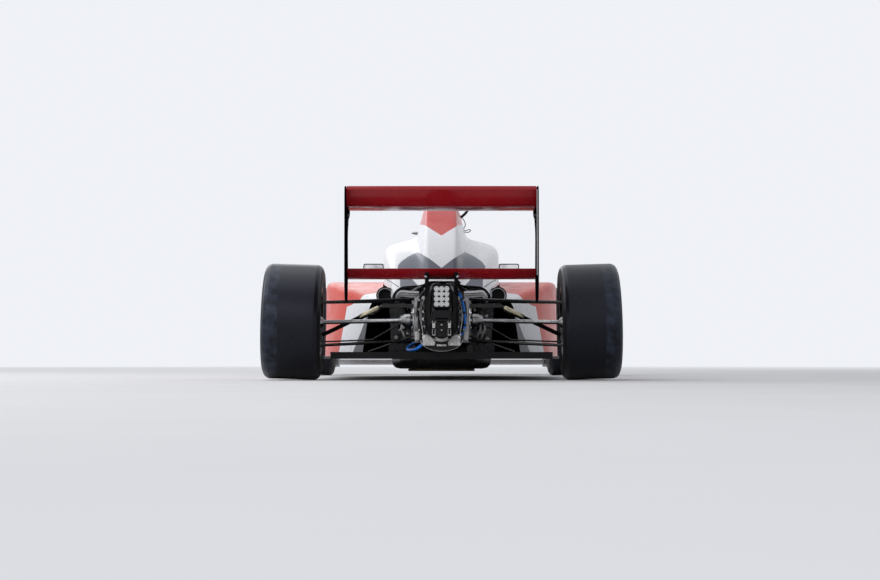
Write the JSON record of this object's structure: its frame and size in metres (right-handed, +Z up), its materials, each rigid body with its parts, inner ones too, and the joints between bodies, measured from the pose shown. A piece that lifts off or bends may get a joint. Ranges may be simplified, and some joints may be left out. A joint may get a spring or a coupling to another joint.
{
  "type": "open wheel racing car",
  "caption": "Open wheel single seat racing car with slick tyres, sidepods and front and rear wings.",
  "frame": {"origin": "middle of the car's box, on the ground under the wheels", "axes": "+Y towards the nose, +X to the car's right, +Z up"},
  "size_m": [1.803, 4.3, 1],
  "materials": {
    "white_paint": "gloss painted composite",
    "red_paint": "gloss painted composite",
    "wing_paint": "gloss dark red paint",
    "carbon": "black composite, satin",
    "tyre": "scrubbed slick",
    "wheel": "satin dark cast wheel with a steel brake disc",
    "steel": "polished",
    "casting": "cast, slightly oily",
    "upholstery": "black padded cloth",
    "wood": "worn resin bonded wood",
    "screen": "clear tinted plastic sheet",
    "light": "clear lamps in a black case",
    "hose": "blue and black hoses"
  },
  "bodies": {
    "chassis": {"beam_wing": "wing_paint", "crash_structure": "carbon", "engine": "casting", "engine_cover": "white_paint", "floor": "carbon", "front_endplate_left": "carbon", "front_endplate_right": "carbon", "front_lower_wishbone_left": "carbon", "front_lower_wishbone_right": "carbon", "front_pushrod_left": "carbon", "front_pushrod_right": "carbon", "front_upper_wishbone_left": "carbon", "front_upper_wishbone_right": "carbon", "front_wing_flap_left": "red_paint", "front_wing_flap_right": "red_paint", "front_wing_main": "white_paint", "gearbox": "casting", "headrest": "upholstery", "hoses": "hose", "mirror_left": "carbon", "mirror_right": "carbon", "nose": "white_paint", "outlet_left": "carbon", "outlet_right": "carbon", "radiator_left": "casting", "radiator_right": "casting", "rain_light": "light", "rear_endplate_left": "carbon", "rear_endplate_right": "carbon", "rear_lower_wishbone_left": "carbon", "rear_lower_wishbone_right": "carbon", "rear_pushrod_left": "carbon", "rear_pushrod_right": "carbon", "rear_upper_wishbone_left": "carbon", "rear_upper_wishbone_right": "carbon", "rear_wing_flap": "wing_paint", "rear_wing_main": "wing_paint", "roll_hoop": "red_paint", "seat": "upholstery", "sidepod_left": "red_paint", "sidepod_right": "red_paint", "skid_plank": "wood", "tub": "white_paint", "upright_rear_left": "casting", "upright_rear_right": "casting", "windscreen": "screen"},
    "rear_left_wheel": {"tyre_rear_left": "tyre", "wheel_rear_left": "wheel"},
    "rear_right_wheel": {"tyre_rear_right": "tyre", "wheel_rear_right": "wheel"},
    "front_left_wheel": {"tyre_front_left": "tyre", "wheel_front_left": "wheel"},
    "knuckle_left": {"knuckle_front_left": "casting"},
    "front_right_wheel": {"tyre_front_right": "tyre", "wheel_front_right": "wheel"},
    "knuckle_right": {"knuckle_front_right": "casting"},
    "drive_shaft_left": {"drive_shaft_left": "steel"},
    "drive_shaft_right": {"drive_shaft_right": "steel"},
    "rack": {"steering_rack": "steel"},
    "steering_wheel": {"steering_wheel": "upholstery"}
  },
  "joints": [
    {"name": "spin_rear_left", "type": "hinge", "parent": "chassis", "child": "rear_left_wheel", "pos_m": [-0.7385, -1.53, 0.29115], "axis": [-0.9995, 0, 0.0305], "continuous": true},
    {"name": "spin_rear_right", "type": "hinge", "parent": "chassis", "child": "rear_right_wheel", "pos_m": [0.7385, -1.53, 0.29115], "axis": [-0.9995, 0, -0.0305], "continuous": true},
    {"name": "spin_front_left", "type": "hinge", "parent": "knuckle_left", "child": "front_left_wheel", "pos_m": [-0.778, 1.17, 0.27823], "axis": [-0.9994, 0, 0.0349], "continuous": true},
    {"name": "spin_front_right", "type": "hinge", "parent": "knuckle_right", "child": "front_right_wheel", "pos_m": [0.778, 1.17, 0.27823], "axis": [-0.9994, 0, -0.0349], "continuous": true},
    {"name": "drive_left", "type": "hinge", "parent": "chassis", "child": "drive_shaft_left", "pos_m": [-0.155, -1.53, 0.297], "axis": [-0.9998, 0, -0.0204], "continuous": true},
    {"name": "drive_right", "type": "hinge", "parent": "chassis", "child": "drive_shaft_right", "pos_m": [0.155, -1.53, 0.297], "axis": [-0.9998, 0, 0.0204], "continuous": true},
    {"name": "steer_left", "type": "hinge", "parent": "chassis", "child": "knuckle_left", "pos_m": [-0.693, 1.17, 0.27823], "axis": [0, 0, 1], "range_deg": [-18, 18]},
    {"name": "steer_right", "type": "hinge", "parent": "chassis", "child": "knuckle_right", "pos_m": [0.693, 1.17, 0.27823], "axis": [0, 0, 1], "range_deg": [-18, 18]},
    {"name": "rack_slide", "type": "slide", "parent": "chassis", "child": "rack", "axis": [-1, 0, 0], "range_m": [-0.032, 0.032]},
    {"name": "steering_wheel_turn", "type": "hinge", "parent": "chassis", "child": "steering_wheel", "pos_m": [0, 0.23, 0.515], "axis": [0, -0.9703, 0.2419], "range_deg": [-145, 145]}
  ],
  "couplings": [
    {"joint": "drive_left", "follows": "spin_rear_left", "ratio": 1},
    {"joint": "drive_right", "follows": "spin_rear_right", "ratio": 1},
    {"joint": "steer_right", "follows": "steer_left", "ratio": 1},
    {"joint": "rack_slide", "follows": "steer_left", "m_per_rad": 0.1},
    {"joint": "steering_wheel_turn", "follows": "steer_left", "ratio": 8}
  ]
}
